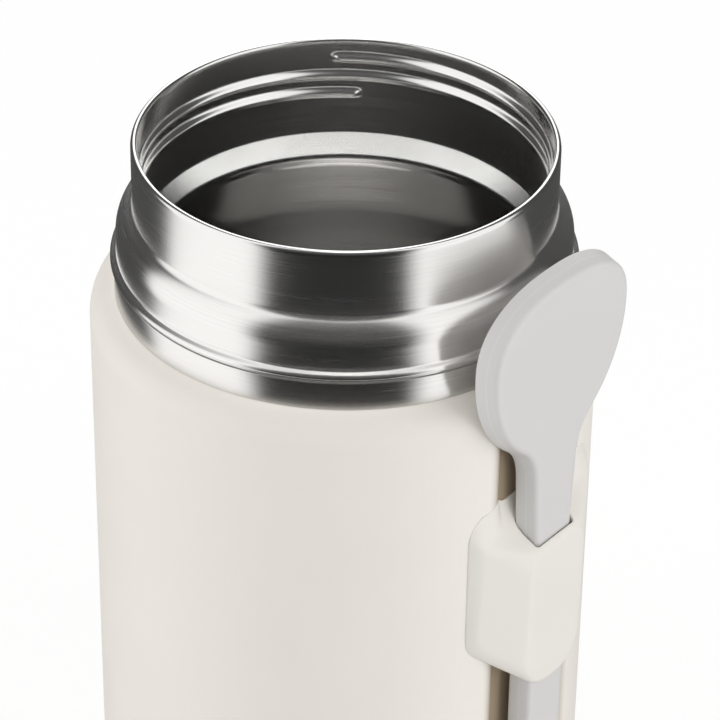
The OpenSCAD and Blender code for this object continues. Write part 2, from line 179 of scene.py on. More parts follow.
def profile(corners, closed=True):
    """A wire in the XZ plane. A corner is (radius, height, length cut from each side, steps)."""
    shape = bmesh.new()
    points = [shape.verts.new((corner[0], 0.0, corner[1])) for corner in corners]
    ends = points[1:] + points[:1] if closed else points[1:]
    for start, end in zip(points, ends):
        shape.edges.new((start, end))
    for point, corner in zip(points, corners):
        if len(corner) > 2:
            steps = corner[3] if len(corner) > 3 else 6
            bmesh.ops.bevel(shape, geom=[point], offset=corner[2], offset_type="OFFSET",
                            segments=steps, profile=0.5, affect="VERTICES", material=-1)
    return shape


def round_points(centre, radius, first, last, steps):
    """Corners along an arc of a section."""
    turns = [first + (last - first) * index / steps for index in range(steps + 1)]
    return [(centre[0] + radius * math.cos(turn), centre[1] + radius * math.sin(turn))
            for turn in turns]


def spin_round(shape, steps):
    """Turns a profile into a closed ring-shaped solid."""
    bmesh.ops.spin(shape, geom=shape.verts[:] + shape.edges[:], cent=(0.0, 0.0, 0.0),
                   axis=(0.0, 0.0, 1.0), dvec=(0.0, 0.0, 0.0), angle=FULL_TURN, steps=steps,
                   use_merge=True, use_duplicate=False)
    bmesh.ops.remove_doubles(shape, verts=shape.verts[:], dist=WELD)
    bmesh.ops.recalc_face_normals(shape, faces=shape.faces[:])


def smooth(share):
    """Eases a share that runs from 0 to 1, and holds it at either end."""
    share = min(max(share, 0.0), 1.0)
    return share * share * (3 - 2 * share)


def cut_level(shape, height):
    """Adds a level row of points, and takes nothing away."""
    bmesh.ops.bisect_plane(shape, geom=shape.verts[:] + shape.edges[:] + shape.faces[:],
                           plane_co=(0.0, 0.0, height), plane_no=(0.0, 0.0, 1.0))


def make_object(name, shape, sharp=math.radians(35)):
    """Turns a bmesh into an object with smooth faces and sharp corners."""
    for face in shape.faces:
        face.smooth = True
    mesh = bpy.data.meshes.new(name)
    shape.to_mesh(mesh)
    shape.free()
    mesh.set_sharp_from_angle(angle=sharp)
    piece = bpy.data.objects.new(name, mesh)
    bpy.context.scene.collection.objects.link(piece)
    return piece


def copy_solid(node):
    """A merged copy of a CAD node's mesh."""
    shape = bmesh.new()
    shape.from_mesh(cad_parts[node].data)
    bmesh.ops.remove_doubles(shape, verts=shape.verts[:], dist=WELD)
    return shape


def hand_over(piece, body, slot, material, *nodes):
    """Gives a piece its material and its body, and hides the CAD nodes it stands for; the slot is
    not used.
    """
    piece.data.materials.clear()
    piece.data.materials.append(material)
    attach(piece, body)
    if nodes:
        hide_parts(*nodes)


# ---------------------------------------------------------------- material helpers

def node_in(tree, kind, **values):
    """A new node; a value goes to the setting or the socket of that name."""
    made = tree.nodes.new(kind)
    for key, value in values.items():
        if hasattr(made, key) and key not in made.inputs:
            setattr(made, key, value)
        else:
            made.inputs[key].default_value = value
    return made


def new_material(name):
    """An empty node material with a Principled shader."""
    material = bpy.data.materials.new(name)
    material.use_nodes = True
    tree = material.node_tree
    tree.nodes.clear()
    output = tree.nodes.new("ShaderNodeOutputMaterial")
    shader = tree.nodes.new("ShaderNodeBsdfPrincipled")
    shader.location = (-300, 0)
    tree.links.new(shader.outputs["BSDF"], output.inputs["Surface"])
    return material, tree, shader


def math_node(tree, operation, first, second=None, third=None, clamp=False):
    """One sum on numbers or sockets."""
    made = tree.nodes.new("ShaderNodeMath")
    made.operation = operation
    made.use_clamp = clamp
    for index, value in enumerate((first, second, third)):
        if value is None:
            continue
        if isinstance(value, (int, float)):
            made.inputs[index].default_value = value
        else:
            tree.links.new(value, made.inputs[index])
    return made.outputs[0]


def chain(tree, operation, *values):
    """Adds or multiplies any number of values, from left to right."""
    result = values[0]
    for value in values[1:]:
        result = math_node(tree, operation, result, value)
    return result


def new_group(name, inputs, outputs):
    """An empty node group with named inputs and outputs."""
    group = bpy.data.node_groups.new(name, "ShaderNodeTree")
    for label, kind, default in inputs:
        socket = group.interface.new_socket(name=label, in_out="INPUT", socket_type=kind)
        if default is not None:
            socket.default_value = default
    for label, kind in outputs:
        group.interface.new_socket(name=label, in_out="OUTPUT", socket_type=kind)
    start = group.nodes.new("NodeGroupInput")
    end = group.nodes.new("NodeGroupOutput")
    return group, start, end


def use_group(tree, group, **values):
    """Places a node group with its own values."""
    made = tree.nodes.new("ShaderNodeGroup")
    made.node_tree = group
    for key, value in values.items():
        made.inputs[key.replace("_", " ")].default_value = value
    return made


def object_place(tree):
    """The place of a point in the piece's own frame."""
    return tree.nodes.new("ShaderNodeTexCoord").outputs["Object"]


def object_parts(tree):
    """X, Y and Z of a point in the piece's own frame."""
    parts = tree.nodes.new("ShaderNodeSeparateXYZ")
    tree.links.new(object_place(tree), parts.inputs[0])
    return parts.outputs


def brushed_group():
    """Lines that run round the axis, and soft streaks that run up and down."""
    if "Brushed rings" in bpy.data.node_groups:
        return bpy.data.node_groups["Brushed rings"]
    group, start, end = new_group(
        "Brushed rings",
        [("Place", "NodeSocketVector", None), ("Line width", "NodeSocketFloat", 0.0002),
         ("Streak width", "NodeSocketFloat", 0.003)],
        [("Lines", "NodeSocketFloat"), ("Streaks", "NodeSocketFloat")])
    parts = group.nodes.new("ShaderNodeSeparateXYZ")
    group.links.new(start.outputs["Place"], parts.inputs[0])
    turn = math_node(group, "ARCTAN2", parts.outputs["Y"], parts.outputs["X"])
    out = group.nodes.new("ShaderNodeVectorMath")
    out.operation = "LENGTH"
    flat = group.nodes.new("ShaderNodeCombineXYZ")
    group.links.new(parts.outputs["X"], flat.inputs["X"])
    group.links.new(parts.outputs["Y"], flat.inputs["Y"])
    group.links.new(flat.outputs[0], out.inputs[0])
    # position along the section, so that lines also cross the sloped parts
    along = math_node(group, "ADD", parts.outputs["Z"],
                      math_node(group, "MULTIPLY", out.outputs["Value"], 0.7))
    line = math_node(group, "DIVIDE", along, start.outputs["Line width"])
    place = group.nodes.new("ShaderNodeCombineXYZ")
    group.links.new(line, place.inputs["Z"])
    group.links.new(math_node(group, "COSINE", turn), place.inputs["X"])
    group.links.new(math_node(group, "SINE", turn), place.inputs["Y"])
    rings = node_in(group, "ShaderNodeTexNoise", Scale=1.0, Detail=3.0, Roughness=0.6)
    group.links.new(place.outputs[0], rings.inputs["Vector"])
    group.links.new(rings.outputs["Fac"], end.inputs["Lines"])
    tall = group.nodes.new("ShaderNodeCombineXYZ")
    for axis in "XY":
        group.links.new(math_node(group, "DIVIDE", parts.outputs[axis],
                                  start.outputs["Streak width"]), tall.inputs[axis])
    group.links.new(math_node(group, "MULTIPLY", parts.outputs["Z"], 12.0), tall.inputs["Z"])
    streaks = node_in(group, "ShaderNodeTexNoise", Scale=1.0, Detail=2.0, Roughness=0.55)
    group.links.new(tall.outputs[0], streaks.inputs["Vector"])
    group.links.new(streaks.outputs["Fac"], end.inputs["Streaks"])
    return group


def grain_group():
    """Fine raised grain, as on powder coat and spark-eroded moulds."""
    if "Fine grain" in bpy.data.node_groups:
        return bpy.data.node_groups["Fine grain"]
    group, start, end = new_group(
        "Fine grain",
        [("Place", "NodeSocketVector", None), ("Grain size", "NodeSocketFloat", 0.0004)],
        [("Height", "NodeSocketFloat"), ("Cloud", "NodeSocketFloat")])
    scaled = group.nodes.new("ShaderNodeVectorMath")
    scaled.operation = "SCALE"
    group.links.new(start.outputs["Place"], scaled.inputs[0])
    group.links.new(math_node(group, "DIVIDE", 1.0, start.outputs["Grain size"]),
                    scaled.inputs["Scale"])
    fine = node_in(group, "ShaderNodeTexNoise", Scale=1.0, Detail=2.0, Roughness=0.5)
    group.links.new(scaled.outputs[0], fine.inputs["Vector"])
    group.links.new(fine.outputs["Fac"], end.inputs["Height"])
    cloud = node_in(group, "ShaderNodeTexNoise", Scale=60.0, Detail=3.0, Roughness=0.5)
    group.links.new(start.outputs["Place"], cloud.inputs["Vector"])
    group.links.new(cloud.outputs["Fac"], end.inputs["Cloud"])
    return group


def between(tree, mask, low, high):
    """A value that goes from low to high with a mask."""
    made = node_in(tree, "ShaderNodeMapRange")
    made.inputs["From Min"].default_value = NOISE_LOW
    made.inputs["From Max"].default_value = NOISE_HIGH
    made.inputs["To Min"].default_value = low
    made.inputs["To Max"].default_value = high
    tree.links.new(mask, made.inputs["Value"])
    return made.outputs["Result"]


def ramp(tree, value, low, high, start=0.0, end=1.0):
    """A soft step from one value to another."""
    made = node_in(tree, "ShaderNodeMapRange", interpolation_type="SMOOTHSTEP")
    tree.links.new(value, made.inputs["Value"])
    for label, number in (("From Min", low), ("From Max", high), ("To Min", start),
                          ("To Max", end)):
        made.inputs[label].default_value = number
    return made.outputs["Result"]


def tint(tree, mask, base, low):
    """A base colour that darkens slightly with a mask."""
    made = node_in(tree, "ShaderNodeMix", data_type="RGBA")
    made.inputs[MIX_FIRST].default_value = [part * low for part in base[:3]] + [1.0]
    made.inputs[MIX_SECOND].default_value = base
    tree.links.new(between(tree, mask, 0.0, 1.0), made.inputs[0])
    return made.outputs[MIX_RESULT]


def lay_over(tree, mask, colour, blend_type):
    """Lays a colour over the material's own where a mask is 1."""
    target = tree.nodes["Principled BSDF"].inputs["Base Color"]
    mixed = node_in(tree, "ShaderNodeMix", data_type="RGBA", blend_type=blend_type)
    mixed.inputs[MIX_SECOND].default_value = colour
    tree.links.new(mask, mixed.inputs[0])
    tree.links.new(target.links[0].from_socket, mixed.inputs[MIX_FIRST])
    tree.links.new(mixed.outputs[MIX_RESULT], target)


def bump(tree, height, distance):
    """A normal raised by a height."""
    made = node_in(tree, "ShaderNodeBump", Strength=1.0, Distance=distance)
    tree.links.new(height, made.inputs["Height"])
    return made.outputs["Normal"]


def brushed_steel(name, base, roughness, spread):
    """Steel with fine lines round the axis; spread is how far they stretch a highlight."""
    ripple = 2e-6
    material, tree, shader = new_material(name)
    rings = use_group(tree, brushed_group(), Line_width=0.0002, Streak_width=0.003)
    tree.links.new(object_place(tree), rings.inputs["Place"])
    shader.inputs["Metallic"].default_value = 1.0
    shader.inputs["Anisotropic"].default_value = spread
    shader.inputs["Anisotropic Rotation"].default_value = 0.25
    tangent = node_in(tree, "ShaderNodeTangent", direction_type="RADIAL", axis="Z")
    tree.links.new(tangent.outputs[0], shader.inputs["Tangent"])
    tree.links.new(tint(tree, rings.outputs["Lines"], base, 0.9), shader.inputs["Base Color"])
    tree.links.new(between(tree, rings.outputs["Lines"], roughness * 0.9, roughness * 1.1),
                   shader.inputs["Roughness"])
    tree.links.new(bump(tree, rings.outputs["Streaks"], ripple), shader.inputs["Normal"])
    return material


def grained(name, base, roughness, grain, height, low=0.985):
    """Paint, plastic or rubber with a fine raised grain and slightly uneven colour."""
    material, tree, shader = new_material(name)
    texture = use_group(tree, grain_group(), Grain_size=grain)
    tree.links.new(object_place(tree), texture.inputs["Place"])
    tree.links.new(tint(tree, texture.outputs["Cloud"], base, low), shader.inputs["Base Color"])
    tree.links.new(between(tree, texture.outputs["Cloud"], roughness * 0.96, roughness * 1.04),
                   shader.inputs["Roughness"])
    tree.links.new(bump(tree, texture.outputs["Height"], height), shader.inputs["Normal"])
    return material


# ---------------------------------------------------------------- operators

class JAR_OT_shell(bpy.types.Operator):
    """Painted shell with the pressed spoon channel"""
    bl_idname = "jar.shell"
    bl_label = "Painted Shell"

    def execute(self, context):
        finish = context.scene.jar_finish
        shape = copy_solid("outer_shell")
        # short rows next to the channel's ends keep the long walls evenly shaded
        for height in (CHANNEL_FOOT - 0.0005, CHANNEL_FOOT - 0.0012, SHELL_TOP - 0.006):
            cut_level(shape, height)
        piece = make_object("painted_shell", shape, math.radians(30))
        material = grained("powder_coat", finish.paint, 0.55, 0.0005, 2e-5)
        # painted shade down in the spoon channel
        self.paint_channel_shade(material, context.scene.jar_holder)
        piece.modifiers.new("Even shading", "WEIGHTED_NORMAL").keep_sharp = True
        hand_over(piece, "jar", "shell_paint", material, "outer_shell")
        return {"FINISHED"}

    def paint_channel_shade(self, material, sizes):
        """Painted shade: a darker, warmer tone down in the channel stands in for the shade there;
        it isn't another material.
        """
        # painted shade colour, multiplied over the paint in the channel
        channel_shade_colour = (0.40, 0.33, 0.245, 1.0)
        tree = material.node_tree
        parts = object_parts(tree)
        side = math_node(tree, "ABSOLUTE", parts["Y"])
        channel_shade_mask = chain(tree, "MULTIPLY",
                     ramp(tree, side, sizes.lip_side + 0.0012, sizes.lip_side - 0.0036),
                     ramp(tree, parts["X"], 0.040, 0.044),
                     ramp(tree, parts["Z"], CHANNEL_FOOT - 0.0004, CHANNEL_FOOT + 0.0012))
        lay_over(tree, channel_shade_mask, channel_shade_colour, "MULTIPLY")


class JAR_OT_neck(bpy.types.Operator):
    """Bare steel neck with its shoulder, bead and groove"""
    bl_idname = "jar.neck"
    bl_label = "Steel Neck"

    def execute(self, context):
        sizes = context.scene.jar_neck
        finish = context.scene.jar_finish
        arc_steps = 14
        lean = math.radians(9)
        wall = sizes.wall
        bead_top = sizes.bead + sizes.bead_radius * 0.7
        bead_low = sizes.bead - sizes.bead_radius
        reach = sizes.collar + sizes.bead_out
        middle = sizes.collar - sizes.shoulder
        drop = math.sqrt(sizes.shoulder ** 2 - (sizes.radius - middle) ** 2)
        centre = (middle, sizes.corner - drop)
        steepest = math.atan2(drop, sizes.radius - middle) - lean
        section = profile([
            (sizes.radius - wall, sizes.top),
            (sizes.radius, sizes.top),
            (sizes.radius, sizes.corner, 0.0008, 5),
            *round_points(centre, sizes.shoulder, steepest, 0.0, arc_steps),
            (sizes.collar, bead_top, 0.0003),
            (reach, sizes.bead + 0.0001, 0.0005, 6),
            (reach, bead_low + 0.0003, 0.0003, 6),
            (sizes.band - sizes.groove, bead_low, 0.00015, 4),
            (sizes.band - sizes.groove, bead_low - 0.0006, 0.0002, 4),
            (sizes.band, bead_low - 0.0008, 0.0001, 3),
            (sizes.band, SHELL_TOP + 0.00005),
            (sizes.collar, SHELL_TOP),
            (sizes.collar, NECK_FOOT),
            (sizes.collar - wall, NECK_FOOT),
            *round_points(centre, sizes.shoulder - wall, 0.0, steepest, arc_steps),
            (sizes.radius - wall, sizes.corner - wall / 2, 0.0005),
        ])
        spin_round(section, sizes.steps)
        piece = make_object("neck_ring_steel", section)
        material = brushed_steel("brushed_neck_steel", finish.steel, finish.brushing, 0.9)
        hand_over(piece, "jar", "neck_steel", material, "neck_ring")
        return {"FINISHED"}


class JAR_OT_vessel(bpy.types.Operator):
    """Steel inner vessel with rolled rim, thread, ledge and lip"""
    bl_idname = "jar.vessel"
    bl_label = "Inner Vessel"

    def execute(self, context):
        sizes = context.scene.jar_vessel
        finish = context.scene.jar_finish
        wall = sizes.wall
        outer = sizes.mouth + 2 * sizes.roll
        roll_low = RIM_TOP - sizes.roll - wall
        roll_cut = sizes.roll * 0.98
        thread_foot = 0.146
        row_step = 0.00022
        section = profile([
            (0.0, sizes.floor),
            (sizes.wall_radius, sizes.floor, sizes.corner, 8),
            (sizes.wall_radius, sizes.food_top - sizes.taper, 0.0015, 6),
            (sizes.ledge + sizes.undercut, sizes.food_top + 0.0016, 0.0006, 4),
            (sizes.ledge, sizes.lip_low, 0.0003, 4),
            (sizes.ledge, sizes.lip_top, 0.0004, 6),
            (sizes.mouth, sizes.ledge_top, 0.0004, 4),
            (sizes.mouth, RIM_TOP, roll_cut, 6),
            (outer, RIM_TOP, roll_cut, 6),
            (outer, roll_low),
            (sizes.mouth + wall, roll_low),
            (sizes.mouth + wall, sizes.ledge_top),
            (sizes.ledge + wall, sizes.lip_top, 0.0003),
            (sizes.ledge + wall, sizes.lip_low, 0.0003),
            (sizes.wall_radius + wall, sizes.food_top, 0.0008, 4),
            (sizes.wall_radius + wall, sizes.floor - wall, sizes.corner + wall, 8),
            (0.0, sizes.floor - wall),
        ], closed=False)
        cut_level(section, thread_foot)
        height = sizes.thread_top - 2.0 * sizes.pitch - sizes.thread_width
        while height < sizes.thread_top + sizes.thread_width:
            cut_level(section, height)
            height += row_step
        spin_round(section, sizes.steps)
        self.press_thread(section, sizes)
        piece = make_object("inner_vessel_steel", section)
        material = brushed_steel("liner_steel", finish.liner, 0.19, 0.6)
        # painted reflection on the ledge, and a lower roughness there
        self.paint_ledge_reflection_and_gloss(material, sizes)
        hand_over(piece, "jar", "vessel_steel", material, "inner_vessel")
        return {"FINISHED"}

    def paint_ledge_reflection_and_gloss(self, material, sizes):
        """Painted reflection: the sloped ledge's colour is brighter than the walls round it,
        standing in for a bright reflection; it is also glossier.
        """
        # level of the painted reflection colour, and the ledge's roughness
        reflection_bright, gloss = 0.84, 0.22
        tree = material.node_tree
        level = object_parts(tree)["Z"]
        band = chain(tree, "MULTIPLY",
                     ramp(tree, level, sizes.lip_top - 0.0002, sizes.lip_top),
                     ramp(tree, level, sizes.ledge_top, sizes.ledge_top - 0.0003))
        lay_over(tree, band, (reflection_bright, reflection_bright, reflection_bright * 0.985, 1.0), "MIX")
        target = tree.nodes["Principled BSDF"].inputs["Roughness"]
        mixed = node_in(tree, "ShaderNodeMix", data_type="FLOAT")
        mixed.inputs[3].default_value = gloss
        tree.links.new(band, mixed.inputs[0])
        tree.links.new(target.links[0].from_socket, mixed.inputs[2])
        tree.links.new(mixed.outputs[0], target)

    def press_thread(self, shape, sizes):
        """Moves the mouth's wall inwards along one winding rib with round ends."""
        start = math.radians(133.1)
        sweep = math.radians(728.6)
        half = sizes.thread_width / 2
        cap = half / sizes.mouth
        on_wall = 1e-5
        for vert in shape.verts:
            reach = math.hypot(vert.co.x, vert.co.y)
            if abs(reach - sizes.mouth) > on_wall or vert.co.z < sizes.ledge_top:
                continue
            turn = (start - math.atan2(vert.co.y, vert.co.x)) % FULL_TURN
            best = 1.0
            for lap in range(-1, 3):
                run = turn + lap * FULL_TURN
                held = min(max(run, cap), sweep - cap)
                along = (run - held) / cap
                middle = sizes.thread_top - sizes.pitch * held / FULL_TURN
                across = (vert.co.z - middle) / half
                best = min(best, math.hypot(along, across))
            if best < 1.0:
                rise = sizes.thread_depth * (math.cos(math.pi * best) + 1) / 2
                vert.co.x *= 1 - rise / reach
                vert.co.y *= 1 - rise / reach


class JAR_OT_base(bpy.types.Operator):
    """Base pad, vacuum base, seal plug and getter"""
    bl_idname = "jar.base"
    bl_label = "Base"

    def execute(self, context):
        finish = context.scene.jar_finish
        outer = float(PAD_HIGH[0])
        top = float(PAD_HIGH[2])
        thick = 0.0012
        inner = 0.0439
        recess = 0.0004
        section = profile([
            (0.0, recess), (outer - 0.009, recess, 0.0002), (outer - 0.0095, 0.0, 0.0002),
            (outer, 0.0, 0.0005, 5), (outer, thick, 0.0002, 3), (inner, thick), (inner, top),
            (0.0, top),
        ], closed=False)
        spin_round(section, 192)
        piece = make_object("base_pad_rubber", section)
        hand_over(piece, "jar", "pad_rubber",
                  grained("pad_rubber_grained", finish.pad, 0.7, 0.0004, 3e-5, 0.9), "base_pad")
        hidden = {
            "vacuum_base": brushed_steel("base_plate_steel", finish.liner, 0.35, 0.5),
            "seal_plug": grained("sealing_glass", (0.05, 0.075, 0.09, 1.0), 0.2, 0.001, 1e-5),
            "getter": grained("getter_pill", (0.18, 0.165, 0.15, 1.0), 0.8, 0.0003, 4e-5, 0.8),
        }
        for node, material in hidden.items():
            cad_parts[node].material_slots[0].material = material
        return {"FINISHED"}


# the holder's top: (height, how far the top surface stands out from its base there)
TOP_CURVE = ((0.10320, 0.00010), (0.0975, 0.00050), (0.0933, 0.0022), (0.0903, 0.0100))
TOP_STEPS = 80
BELOW_TOP = 0.02            # stands out further than the front does
RAY_START = 0.08            # a place well outside the holder's front
THIN_FROM, THIN_RUN = 0.060, 0.012
LIP_OUTSIDE = 0.0012        # past the lip's side by this much, the shell is plain
SEARCH = (0.085, 0.1025)    # heights between which the slot comes out on top
DIP_ABOVE, DIP = 0.095, 0.0021
DIP_HALF, DIP_BLEND = 0.008, 0.004
FIRST_ROW = 0.00065         # the first row's distance from the slot
ROW_SPREAD = 1.6            # how much closer the rows lie near the edge
EDGE_LIMIT = 0.04749        # the edge stays behind the slot
BACK_MIDDLE = 0.080
CUTTER_FOOT = 0.050
CUTTER_GROWTH = 1.004
CUTTER_OVERLAP = 0.0006


class JAR_OT_holder(bpy.types.Operator):
    """Spoon holder and its steel clip"""
    bl_idname = "jar.holder"
    bl_label = "Spoon Holder"

    def execute(self, context):
        finish = context.scene.jar_finish
        piece = self.body(context.scene.jar_holder)
        hand_over(piece, "jar", "holder_plastic",
                  grained("moulded_plastic", finish.holder, 0.5, 0.0003, 1e-5), "spoon_holder")
        clip = grained("spring_clip_steel", finish.steel, 0.3, 0.0004, 4e-6, 0.95)
        clip.node_tree.nodes["Principled BSDF"].inputs["Metallic"].default_value = 1.0
        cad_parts["holder_clip"].material_slots[0].material = clip
        return {"FINISHED"}

    def body(self, sizes):
        """Rows from the slot over the front and top, round the edge and across the back."""
        hull = copy_solid("spoon_holder")
        bmesh.ops.convex_hull(hull, input=hull.verts[:])
        tree = BVHTree.FromBMesh(hull)
        flat = [Vector((vert.co.y, vert.co.z)) for vert in hull.verts]
        outline = [flat[index] for index in convex_hull_2d(flat)]
        hull.free()
        curve = interpolate_bezier(*(Vector((*point, 0.0)) for point in TOP_CURVE), TOP_STEPS)
        corner = sizes.slot_corner
        slot = [(sizes.slot_back, 0.0)]
        for side_x, side_y, first in ((1, 1, 180), (-1, 1, 90), (-1, -1, 0), (1, -1, -90)):
            out = sizes.slot_back if side_x > 0 else sizes.slot_front
            half = sizes.back_half if side_x > 0 else sizes.front_half
            centre = (out + side_x * corner, side_y * (half - corner))
            slot += round_points(centre, corner, math.radians(first), math.radians(first - 90), 6)
        slot.append(slot[0])

        def shell(side):
            lap = abs(side) - sizes.lip_side
            out = sizes.floor
            if lap > LIP_OUTSIDE:
                out = max(out, math.sqrt(sizes.shell ** 2 - side ** 2))
            if abs(lap) < sizes.lip_radius:
                out = max(out, sizes.lip_out + math.sqrt(sizes.lip_radius ** 2 - lap ** 2))
            return out

        def rise(height):
            for before, after in zip(curve, curve[1:]):
                if height >= after.x:
                    share = (before.x - height) / (before.x - after.x)
                    return before.y + (after.y - before.y) * max(share, 0.0)
            return BELOW_TOP

        def surface(side, height, inset):
            hit = tree.ray_cast(Vector((RAY_START, side, height)), Vector((-1.0, 0.0, 0.0)))[0]
            front = hit.x if hit else sizes.floor
            strip = max(1 - inset / sizes.thin_width, 0.0) ** 2
            front -= sizes.thin * strip * min(max((height - THIN_FROM) / THIN_RUN, 0.0), 1.0)
            above = rise(height)
            free = smooth(above / sizes.lip_fade)
            base = shell(side)
            top = base + (sizes.top_base - base) * free + above
            soft = max(sizes.blend - abs(front - top), 0.0) / sizes.blend
            return max(min(front, top) - soft ** 2 * sizes.blend / 4, shell(side) + 0.0001)

        def slot_point(share):
            steps = [math.dist(start, end) for start, end in zip(slot, slot[1:])]
            left = share * sum(steps)
            for start, end, step in zip(slot, slot[1:], steps):
                if left <= step:
                    part = left / step if step else 0.0
                    return (start[0] + (end[0] - start[0]) * part,
                            start[1] + (end[1] - start[1]) * part)
                left -= step
            return slot[0]

        def mouth_height(out, side):
            low, high = SEARCH
            for _ in range(30):
                half = (low + high) / 2
                low, high = (half, high) if surface(side, half, 1.0) > out else (low, half)
            return (low + high) / 2

        def edge_point(turn):
            way = Vector((math.sin(turn), math.cos(turn)))
            best = 1.0
            for start, end in zip(outline, outline[1:] + outline[:1]):
                edge = end - start
                cross = way.x * edge.y - way.y * edge.x
                if abs(cross) < 1e-12:
                    continue
                gap = start - Vector((0.0, sizes.middle))
                reach = (gap.x * edge.y - gap.y * edge.x) / cross
                share = (gap.x * way.y - gap.y * way.x) / cross
                if reach > 0 and -1e-6 <= share <= 1 + 1e-6:
                    best = min(best, reach)
            spot = Vector((0.0, sizes.middle)) + way * best
            if spot.y > DIP_ABOVE:
                spot.y -= DIP * (1 - smooth((abs(spot.x) - DIP_HALF) / DIP_BLEND))
            return spot

        # rows: pocket end, pocket wall, mouth, then the outside, the edge and the back
        pocket = [0.0, 0.0, 0.35, 0.7, 0.97]
        back = [1.0, 0.8, 0.6, 0.4, 0.2, 0.0]
        count = len(pocket) + 1 + sizes.rows + len(back)
        shape = bmesh.new()
        wire = [shape.verts.new((0.0, 0.0, 1.0 + row)) for row in range(count)]
        for start, end in zip(wire, wire[1:]):
            shape.edges.new((start, end))
        bmesh.ops.spin(shape, geom=shape.verts[:] + shape.edges[:], cent=(0.0, 0.0, 0.0),
                       axis=(1.0, 0.0, 0.0), dvec=(0.0, 0.0, 0.0), angle=FULL_TURN,
                       steps=sizes.columns, use_merge=True, use_duplicate=False)
        columns = {}
        mouth = []
        for vert in shape.verts:
            row = round(math.hypot(vert.co.y, vert.co.z)) - 1
            turn = math.atan2(vert.co.y, vert.co.z) % FULL_TURN
            key = round(turn / FULL_TURN * sizes.columns) % sizes.columns
            if key not in columns:
                turn = key / sizes.columns * FULL_TURN
                out, side = slot_point(key / sizes.columns)
                columns[key] = (out, side, mouth_height(out, side), edge_point(turn))
            out, side, top, edge = columns[key]
            if row < len(pocket):
                height = sizes.slot_end + (top - sizes.slot_end) * pocket[row]
                vert.co = (out, side, height) if row else (
                    (sizes.slot_back + sizes.slot_front) / 2, 0.0, sizes.slot_end)
                continue
            row -= len(pocket)
            if row == 0:
                vert.co = (out, side, top)
                mouth.append(vert)
                continue
            start = Vector((side, top))
            whole = (edge - start).length
            if row <= sizes.rows:
                share = 1 - (1 - (row - 1) / (sizes.rows - 1)) ** ROW_SPREAD
                first = FIRST_ROW / whole
                spot = start.lerp(edge, (first + (1 - first) * share) * 0.9995)
                vert.co = (surface(spot.x, spot.y, (edge - spot).length), spot.x, spot.y)
                if row == sizes.rows:
                    vert.co.x = min(vert.co.x, EDGE_LIMIT)
                continue
            share = back[row - sizes.rows - 1]
            spot = Vector((0.0, BACK_MIDDLE)).lerp(edge, share)
            vert.co = (shell(spot.x) + 0.00003, spot.x, spot.y)
        bmesh.ops.remove_doubles(shape, verts=shape.verts[:], dist=WELD)
        mouth = {vert for vert in mouth if vert.is_valid}
        rim = [line for line in shape.edges if line.verts[0] in mouth and line.verts[1] in mouth]
        bmesh.ops.bevel(shape, geom=rim, offset=sizes.soft_edge, offset_type="OFFSET", segments=4,
                        profile=0.5, affect="EDGES", material=-1)
        bmesh.ops.recalc_face_normals(shape, faces=shape.faces[:])
        piece = make_object("spoon_holder_moulded", shape, math.radians(40))
        self.open_slot(piece, slot, sizes)
        return piece

    def open_slot(self, piece, slot, sizes):
        """Runs the slot out through the bottom."""
        shape = bmesh.new()
        middle = Vector(((sizes.slot_back + sizes.slot_front) / 2, 0.0))
        ring = []
        for point in slot[1:-1]:
            spot = middle + (Vector(point) - middle) * CUTTER_GROWTH
            ring.append(shape.verts.new((spot.x, spot.y, CUTTER_FOOT)))
        low = shape.faces.new(ring)
        grown = bmesh.ops.extrude_face_region(shape, geom=[low])
        top = [item for item in grown["geom"] if isinstance(item, bmesh.types.BMVert)]
        bmesh.ops.translate(shape, verts=top,
                            vec=(0.0, 0.0, sizes.slot_end + CUTTER_OVERLAP - CUTTER_FOOT))
        bmesh.ops.recalc_face_normals(shape, faces=shape.faces[:])
        cutter = make_object("slot_cutter", shape)
        cut = piece.modifiers.new("Slot", "BOOLEAN")
        cut.operation = "DIFFERENCE"
        cut.solver = "EXACT"
        cut.object = cutter
        view = bpy.context.evaluated_depsgraph_get()
        mesh = bpy.data.meshes.new_from_object(piece.evaluated_get(view))
        piece.modifiers.clear()
        piece.data = mesh
        bpy.data.objects.remove(cutter, do_unlink=True)
        mesh.set_sharp_from_angle(angle=math.radians(40))


class JAR_OT_spoon(bpy.types.Operator):
    """Spoon that lifts out of the holder"""
    bl_idname = "jar.spoon"
    bl_label = "Spoon"

    def execute(self, context):
        finish = context.scene.jar_finish
        stem_top, stem_blend, widening = 0.114, 0.008, 0.095
        shape = copy_solid("spoon")
        flat = [face for face in shape.faces if face.normal.x > 0.9998]
        bmesh.ops.inset_region(shape, faces=flat, thickness=0.00035, use_even_offset=True)
        # the whole stem is wider than the solid's, by the same share down to its foot
        for vert in shape.verts:
            vert.co.y *= 1 + widening * smooth((stem_top - vert.co.z) / stem_blend)
        piece = make_object("spoon_moulded", shape, math.radians(50))
        material = grained("spoon_plastic_satin", finish.spoon, 0.5, 0.0003, 6e-6)
        self.parting_line(material)
        hand_over(piece, "spoon", "spoon_plastic", material, "spoon")
        return {"FINISHED"}

    def parting_line(self, material):
        """A fine paler line round the edge, where the mould's halves meet."""
        tree = material.node_tree
        middle = float(SPOON_LOW[0] + SPOON_HIGH[0]) / 2
        offset = math_node(tree, "SUBTRACT", object_parts(tree)["X"], middle)
        line = ramp(tree, math_node(tree, "ABSOLUTE", offset), 0.00022, 0.00008)
        lay_over(tree, line, (1.05, 1.05, 1.05, 1.0), "MULTIPLY")


# lamps: name, degrees from the camera's side, height, width, power
LAMPS = (("left_softbox", -85, 0.25, 0.9, 4.2), ("right_softbox", 62, 0.35, 0.9, 4.2))
LAMP_REACH = 1.1
LAMP_AIM = (0.0, 0.0, 0.08)

